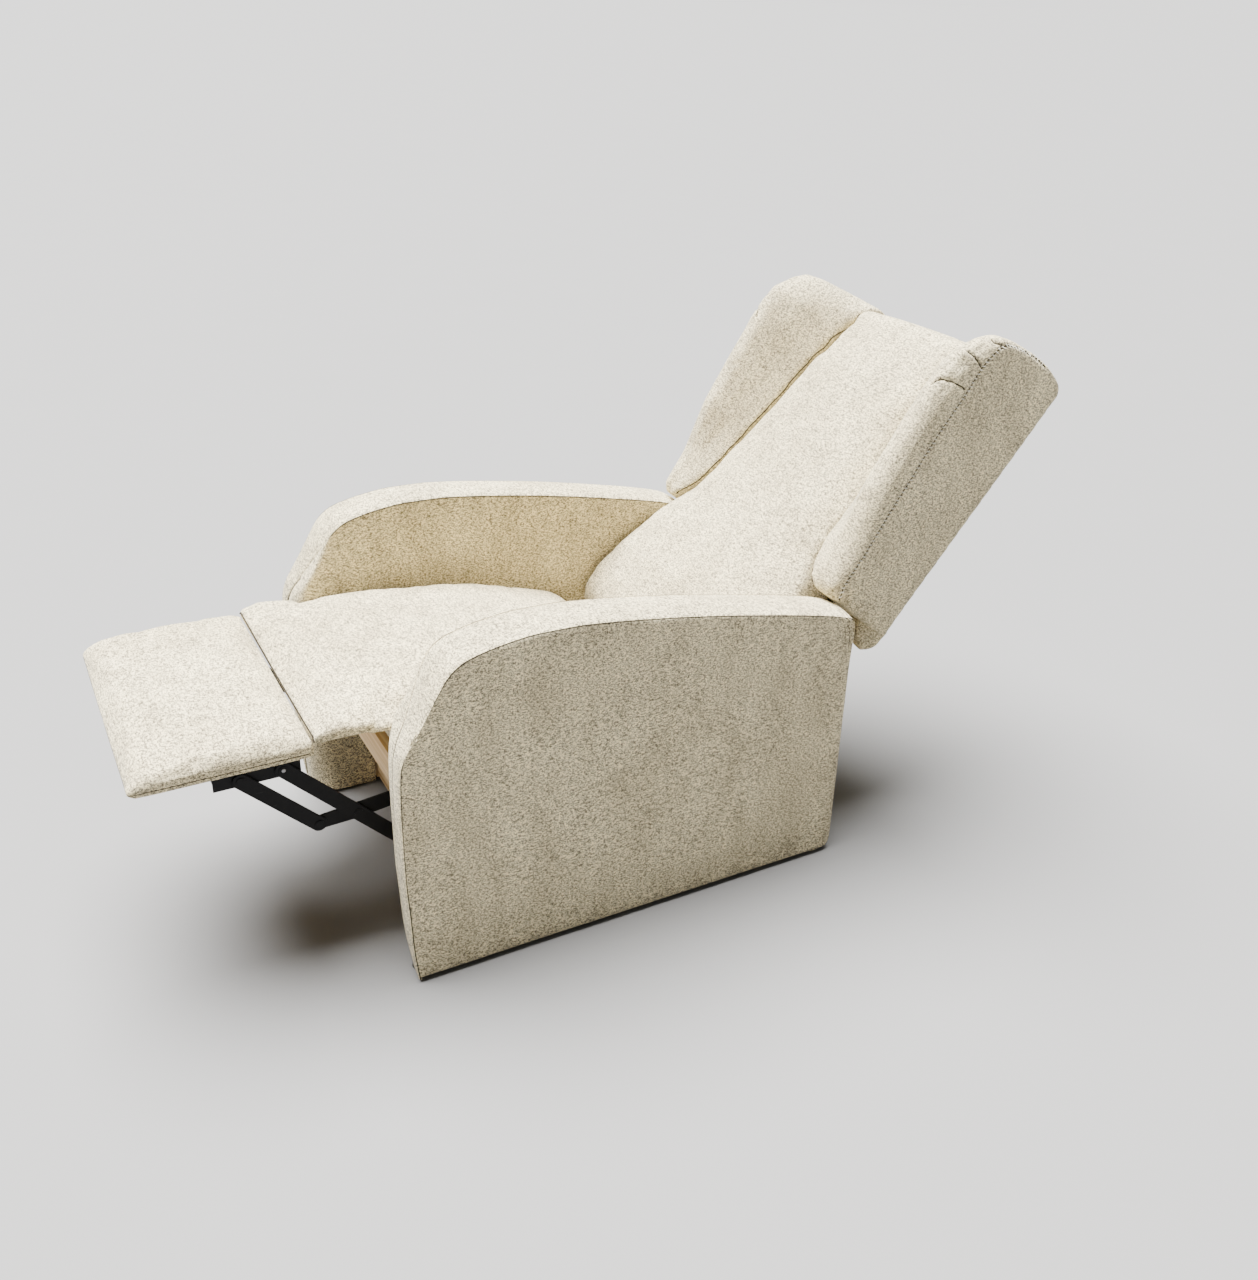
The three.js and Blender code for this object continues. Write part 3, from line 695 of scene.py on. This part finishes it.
seatPad = padFrom("seat_pad", ["seat_cushion", "knee_flap"], seat, seatRoom)
stretchEnd(seatPad, at(-846, 0)[0], at(-941.2, 0)[0], 2.5)
points = coordinates(seatPad)
under = np.clip((431 - points[:, 2] / mm) / 14, 0, 1) * np.clip((at(-690, 0)[0] - points[:, 1]) / 0.06, 0, 1)
points[:, 0] *= 1 - 0.13 * under
points[:, 1] += 0.045 * under * np.clip((at(-780, 0)[0] - points[:, 1]) / 0.06, 0, 1)
setCoordinates(seatPad, points)
dress(seatPad, finishes["fabric"])
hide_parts("seat_cushion", "knee_flap")
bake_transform(seatPad)
print("seat padded")


# a near-black line paints the shade in the groove where the seat's cover and the footrest's meet
tree = treeOf(seatPad)
joinY = at(-941.3, 0)[0]
joinLine = []
for x in np.linspace(-0.2455, 0.2455, 60):
    hit = tree.ray_cast(Vector((x, joinY + 0.0022, 1)), Vector((0, 0, -1)))
    joinLine.append((x, joinY, hit[0].z - 0.0007))
shadeLineAlong("footrest_joint_shade", joinLine, 1.3, paintedGrooveShade, "knee")


footPad = {"voxel": 0.0055, "soften": 5, "pressure": 4.0, "frames": 18, "weltZ": 419}


def footRoom(points, normals):
    return 1.0 + 6.0 * np.clip(normals[:, 2], 0, 1)


footrest = padFrom("footrest_cover", ["footrest_pad"], footPad, footRoom)
stretchEnd(footrest, at(-1000, 0)[0], at(-941.4, 0)[0], 2.5)
weltSide = [(248, -948), (248, -1000), (248, -1100), (248, -1180), (243, -1208), (225, -1218),
            (100, -1219), (0, -1219)]
weltLine = []
for x, y in weltSide + [(-x, y) for x, y in weltSide[-2::-1]]:
    weltLine.append((x * mm, *at(y, footPad["weltZ"])))
fine = smoothPath(weltLine, np.linspace(0, 1, 160))
welt, _ = onSurface(footrest, fine)
sink(footrest, welt, 1.6, 3.2)
welt, _ = onSurface(footrest, fine)
dress(footrest, finishes["fabric"])
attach(footrest, "footrest")
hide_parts("footrest_pad")
# the welt is real; the near-black line in its groove paints the groove's shade
shadeLineAlong("footrest_seam_shade", welt, 0.7, paintedGrooveShade, "footrest")
print("footrest padded")


# a slack strip of cloth closes the gap between seat and back
gusset = {"profile": [(-296, 334), (-284, 318), (-268, 303), (-250, 301), (-236, 314), (-228, 326)],
          "half": 238, "sag": 1.5, "thickness": 2}
profile = smoothPath([(0, y, z) for y, z in gusset["profile"]], np.linspace(0, 1, 24))
sheet = []
for x in np.linspace(-gusset["half"], gusset["half"], 40):
    sag = gusset["sag"] * math.sin(x * 0.05)
    sheet.append([(x * mm, *at(y, z - sag)) for _, y, z in profile])
gussetPiece = gridPiece("seat_back_gusset", np.array(sheet), (0, *at(-262, 200)))
applyModifier(gussetPiece, "SOLIDIFY", thickness=gusset["thickness"] * mm, offset=-1)
editAll(gussetPiece, tidyNormals)
dress(gussetPiece, finishes["fabric"])
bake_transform(gussetPiece)
print("gusset made")


# the bright rivet head on the outer side of each footrest angle
rivet = {"radius": 3.4, "height": 1.3, "x": 235.3, "place": (-989.6, 396.8)}
for side, label in ((1, "left"), (-1, "right")):
    deselectAll()
    y, z = at(*rivet["place"])
    bpy.ops.mesh.primitive_uv_sphere_add(segments=20, ring_count=10, radius=1, location=(0, 0, 0))
    head = bpy.context.object
    head.name = head.data.name = f"footrest_rivet_{label}"
    points = coordinates(head) * np.array([rivet["height"], rivet["radius"], rivet["radius"]]) * mm
    setCoordinates(head, points + np.array([side * rivet["x"] * mm, y, z]))
    dress(head, finishes["spring_steel"])
    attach(head, "footrest")


backPadding = {"voxel": 0.0068, "soften": 4, "pressure": 4.0, "frames": 20, "topRise": 6}


def backRoom(points, normals):
    s, p = toBack(points)
    front = np.clip(normals[:, 1] * -0.7769 + normals[:, 2] * 0.6296, 0, 1)
    low = np.clip((s + 200) / 120, 0.15, 1)
    return 1.0 + 9.0 * front * low


backPad = padFrom("back_pad_cover", ["back_pad"], backPadding, backRoom)
points = coordinates(backPad)
s, p = toBack(points)
points[:, 0] *= 1 - 0.035 * np.exp(-((s - 30) / 60) ** 2) + 0.09 * np.clip((s - 490) / 46, 0, 1)
rise = np.clip((s - 440) / 96, 0, 1) ** 1.5 * backPadding["topRise"]
points[:, 1:] += np.stack([0.6296 * rise, 0.7769 * rise], axis=1) * mm
setCoordinates(backPad, points)
dress(backPad, finishes["fabric"])
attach(backPad, "back")
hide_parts("back_pad")
print("back padded")


# lines on a wing are (s, p), or (x, s, p) where they leave the outer face
wing = {
    "voxel": 0.005, "soften": 4, "pressure": 4.0, "frames": 16,
    "seam": [(4, 147), (32, 158), (94, 162), (169, 171), (245, 178), (334, 187), (416, 190), (477, 195),
             (512, 188), (531, 176), (545, 150), (554, 108), (556, 70)],
    "stitchStep": 9.5, "stitchRadius": 0.95, "stitchReach": 3.9,
    "pleats": [[(302, 423, 199), (296, 421, 215), (290, 417, 230), (284, 411, 238), (278, 403, 244),
                (273, 397, 247)],
               [(302, 470, 200), (297, 473, 218), (288, 473, 231)],
               [(302, 521, 186), (297, 521, 203), (290, 521, 204)]],
    "tipP": [-8, 0, 8, 16, 30, 56, 95, 110], "tipS": [524, 538, 545, 550, 554, 557, 560, 600],
    "heel": -7,
}


def wingRoom(points, normals):
    front = np.clip(normals[:, 1] * -0.7769 + normals[:, 2] * 0.6296, 0, 1)
    return 0.8 + 4.5 * front


def fromBack(x, s, p):
    y, z = backPoint(s, p)
    return np.stack([x, y, z], axis=1)


def shapeWing(piece):
    points = coordinates(piece)
    s, p = toBack(points)
    x = np.abs(points[:, 0])
    wrap = np.clip((x / mm - 284) / 10, 0, 1)
    p = p - (7 - wing["heel"]) * wrap * np.clip(1 - (p - 5) / 40, 0, 1)
    s = np.minimum(s, np.interp(p, wing["tipP"], wing["tipS"]))
    hollow = np.exp(-((s - 16) / 14) ** 2) * np.clip(p / 40, 0, 1) * np.clip((x / mm - 270) / 20, 0, 1)
    pucker = 1.6 * hollow * np.sin(p * 0.22)
    tuckIn = 9 * np.clip((70 - s) / 70, 0, 1) ** 1.5 * np.clip((292 - x / mm) / 40, 0, 1)
    s = s + 7 * np.clip((30 - s) / 30, 0, 1) * np.clip((252 - x / mm) / 20, 0, 1)
    out = x + (pucker + tuckIn) * mm
    setCoordinates(piece, fromBack(out * np.sign(points[:, 0]), s, p))


def wingSeamLine(side, count):
    flat = smoothPath(wing["seam"], np.linspace(0, 1, count))
    return [(side * 0.303, *backPoint(s, p)) for s, p in flat]


def stitchesAcross(piece, name, line, body):
    spots, facings = onSurface(piece, line)
    curve = bpy.data.curves.new(name, "CURVE")
    curve.dimensions = "3D"
    curve.bevel_depth = wing["stitchRadius"] * mm
    curve.bevel_resolution = 0
    curve.use_fill_caps = True
    for i in range(1, len(spots) - 1):
        along = Vector(spots[i + 1] - spots[i - 1]).normalized()
        up = Vector(facings[i])
        lean = (along.cross(up).normalized() + 0.45 * along).normalized() * wing["stitchReach"] * mm
        centre = Vector(spots[i]) + up * 0.0004
        spline = curve.splines.new("POLY")
        spline.points.add(2)
        for point, place in zip(spline.points, (centre - lean, centre + up * 0.0012, centre + lean)):
            point.co = (*place, 1)
    stitches = bpy.data.objects.new(name, curve)
    bpy.context.scene.collection.objects.link(stitches)
    makeActive(stitches)
    bpy.ops.object.convert(target="MESH")
    stitches = bpy.context.object
    dress(stitches, seamPale)
    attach(stitches, body)


for side, label in ((1, "left"), (-1, "right")):
    cover = padFrom(f"wing_cover_{label}", [f"back_wing_{label}"], wing, wingRoom)
    shapeWing(cover)
    seamLine, _ = onSurface(cover, wingSeamLine(side, 150))
    sink(cover, seamLine, 2.4, 3.4)
    for k, pleat in enumerate(wing["pleats"]):
        rough = [(side * x * mm, *backPoint(s, p)) for x, s, p in pleat]
        crease, _ = onSurface(cover, smoothPath(rough, np.linspace(0, 1, 24)))
        sink(cover, crease, 3.2, 3.0)
        crease, _ = onSurface(cover, crease)
        # a near-black line in each pleat's crease paints its shade
        shadeLineAlong(f"wing_pleat_shade_{label}_{k + 1}", crease, 0.8, paintedGrooveShade, "back")
    dress(cover, finishes["fabric"])
    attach(cover, "back")
    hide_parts(f"back_wing_{label}")
    seamLine, _ = onSurface(cover, wingSeamLine(side, 150))
    # the wing seam is real; the near-black line in its groove paints the groove's shade
    shadeLineAlong(f"wing_seam_shade_{label}", seamLine, 1.15, paintedGrooveShade, "back")
    stitchesAcross(cover, f"wing_stitches_{label}", wingSeamLine(side, int(760 / wing["stitchStep"])), "back")
# a near-black line paints the shade in the crease where the wing's surface comes up in front of the back
# pad's
creaseRise = np.linspace(6, 520, 150)
for side, label in ((1, "left"), (-1, "right")):
    trees = [treeOf(piece) for piece in (backPad, bpy.data.objects[f"wing_cover_{label}"])]
    heading = Vector((0, 0.7769, -0.6296))
    lowest = []
    for s in creaseRise:
        for x in np.linspace(150, 270, 121):
            start = Vector((side * x * mm, *backPoint(s, 320)))
            hits = [tree.ray_cast(start, heading) for tree in trees]
            reach = [9 if hit[0] is None else hit[3] for hit in hits]  # 9 m stands for no hit
            if reach[1] < reach[0]:
                break
        lowest.append((x, 320 - min(reach) / mm))
    weights = np.hanning(11) / np.hanning(11).sum()
    x, p = (np.convolve(np.pad(values, 5, mode="edge"), weights, mode="valid")
            for values in np.array(lowest).T)
    crease = fromBack(side * x * mm, creaseRise, p - 0.2)
    shadeLineAlong(f"wing_crease_shade_{label}", crease, 1.3, paintedGrooveShade, "back")
print("wings padded")


rearPanel = {"voxel": 0.0045, "soften": 5, "inset": 12}
panel = mergedCopy("rear_panel_cover", ["back_rear_panel"])
applyModifier(panel, "REMESH", mode="VOXEL", voxel_size=rearPanel["voxel"])
points = coordinates(panel)
s, p = toBack(points)
x = points[:, 0]
draw = np.clip((s + 6) / 10, 0, 1) * np.clip((np.abs(x) / mm - 200) / 100, 0, 1)
x = x - np.sign(x) * rearPanel["inset"] * mm * draw
wave = ripple(points, 6.0, 5)
p = p - 3.5 * np.clip(1 - (p - 1) / 4, 0, 1) * np.clip((290 - np.abs(x) / mm) / 30, 0, 1) ** 0.5 - 1.6 * wave
setCoordinates(panel, fromBack(x, s, p))
applyModifier(panel, "SMOOTH", factor=0.5, iterations=rearPanel["soften"])
dress(panel, finishes["fabric"])
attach(panel, "back")
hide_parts("back_rear_panel")
# the tuck is gathered cloth under a wing's rear corner, its lip as (x, s, p)
tuckLip = [(296, 34, 16), (301, 9, -3), (297, -14, -6), (289, -34, -3), (280, -44, 7), (262, -42, 9),
           (244, -30, 11)]
# the lining closes the sides of the lower back, with its depth at each height
lining = {"x": 248.6, "s": (-244, 14), "heights": [-286, -205, -140, -82, -40, 0, 40],
          "depths": [190, 178, 158, 136, 116, 96, 78], "frontCurl": 5, "rearCurl": 14, "lowCurl": 8}
for side, label in ((1, "left"), (-1, "right")):
    lip = smoothPath(tuckLip, np.linspace(0, 1, 26))
    grid = []
    for depth in np.linspace(0, 1, 14):
        row = lip.copy()
        row[:, 0] -= 10 * depth**2
        row[:, 1] += 30 * depth + 30 * np.clip((depth - 0.55) / 0.45, 0, 1) ** 2
        row[:, 2] += 62 * depth * (1 - 0.35 * np.linspace(0, 1, 26)) + 1.4 * np.sin(np.arange(26) * 0.9)
        grid.append(fromBack(row[:, 0] * side * mm, row[:, 1], row[:, 2]))
    tuck = gridPiece(f"back_tuck_{label}", np.array(grid), (side * 0.2, *backPoint(40, 40)))
    applyModifier(tuck, "SOLIDIFY", thickness=0.003, offset=-1)
    editAll(tuck, tidyNormals)
    dress(tuck, finishes["fabric"])
    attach(tuck, "back")
    sheet = []
    for s in np.linspace(*lining["s"], 30):
        depth = np.interp(s, lining["heights"], lining["depths"])
        share = np.linspace(0, 1, 18)
        p = 4 + (depth - 4) * share
        x = (lining["x"] - lining["frontCurl"] * share**8 - lining["rearCurl"] * (1 - share) ** 24
             - lining["lowCurl"] * np.clip((-180 - s) / 64, 0, 1) ** 4)
        sheet.append(fromBack(x * side * mm, np.full(18, s), p))
    sideSheet = gridPiece(f"back_side_lining_{label}", np.array(sheet), (0, *backPoint(-100, 60)))
    applyModifier(sideSheet, "SOLIDIFY", thickness=0.0015, offset=-1)
    editAll(sideSheet, tidyNormals)
    dress(sideSheet, finishes["fabric"])
    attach(sideSheet, "back")
# cloth over the top edge of the back, from the rear panel to the pad
topFlap = {"half": 262, "wave": 0.8, "profile": [(526, -1.8), (537, -0.8), (544, 5), (546.5, 20), (547, 44),
                                                 (546, 66), (541, 84), (533, 92)]}
profile = smoothPath([(0, s, p) for s, p in topFlap["profile"]], np.linspace(0, 1, 34))
sheet = [fromBack(np.full(34, x * mm), profile[:, 1] + topFlap["wave"] * math.sin(x * 0.031), profile[:, 2])
         for x in np.linspace(-topFlap["half"], topFlap["half"], 70)]
flap = gridPiece("back_top_flap", np.array(sheet), (0, *backPoint(500, 45)))
applyModifier(flap, "SOLIDIFY", thickness=0.0025, offset=-1)
editAll(flap, tidyNormals)
dress(flap, finishes["fabric"])
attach(flap, "back")
print("rear panel covered")


studio = {"floor": (0.21, 0.207, 0.203), "floorSize": 600, "key": 25.5, "keySpread": 0.9,
          "keyHeading": (0.27, 0.10, -1), "fill": 4, "fillPlace": (3.2, 0.5, 1.5), "fillSize": 1.8,
          "world": 0.12, "sky": 1.8}


def addArea(name, place, target, size, power):
    light = bpy.data.lights.new(name, "AREA")
    light.shape = "SQUARE"
    light.size = size
    light.energy = power
    lamp = bpy.data.objects.new(name, light)
    bpy.context.scene.collection.objects.link(lamp)
    lamp.location = place
    lamp.rotation_euler = (Vector(target) - Vector(place)).to_track_quat("-Z", "Y").to_euler()


deselectAll()
bpy.ops.mesh.primitive_plane_add(size=studio["floorSize"], location=(0, 0, -0.0005))
floor = bpy.context.object
floor.name = "floor"
floorGraph = Graph("pale floor")
speck = floorGraph.noise(3, 2)
tone = floorGraph.ramp(speck, [(0.2, tuple(c * 0.985 for c in studio["floor"])), (0.8, studio["floor"])])
floor.data.materials.append(floorGraph.finish(tone, 0.8))

world = bpy.data.worlds.new("studio")
world.use_nodes = True
sky = world.node_tree.nodes["Background"]
sky.inputs[0].default_value = (1.0, 0.99, 0.975, 1)
# the backdrop is brighter than the light that the sky gives
seen = world.node_tree.nodes.new("ShaderNodeLightPath").outputs["Is Camera Ray"]
level = world.node_tree.nodes.new("ShaderNodeMapRange")
world.node_tree.links.new(seen, level.inputs["Value"])
level.inputs["To Min"].default_value = studio["world"]
level.inputs["To Max"].default_value = studio["sky"]
world.node_tree.links.new(level.outputs[0], sky.inputs[1])
bpy.context.scene.world = world
sun = bpy.data.lights.new("key", "SUN")
sun.energy = studio["key"]
sun.angle = studio["keySpread"]
lamp = bpy.data.objects.new("key", sun)
bpy.context.scene.collection.objects.link(lamp)
lamp.rotation_euler = Vector(studio["keyHeading"]).to_track_quat("-Z", "Y").to_euler()
addArea("fill", studio["fillPlace"], (0, 0, 0.4), studio["fillSize"], studio["fill"])
print("stage lit")
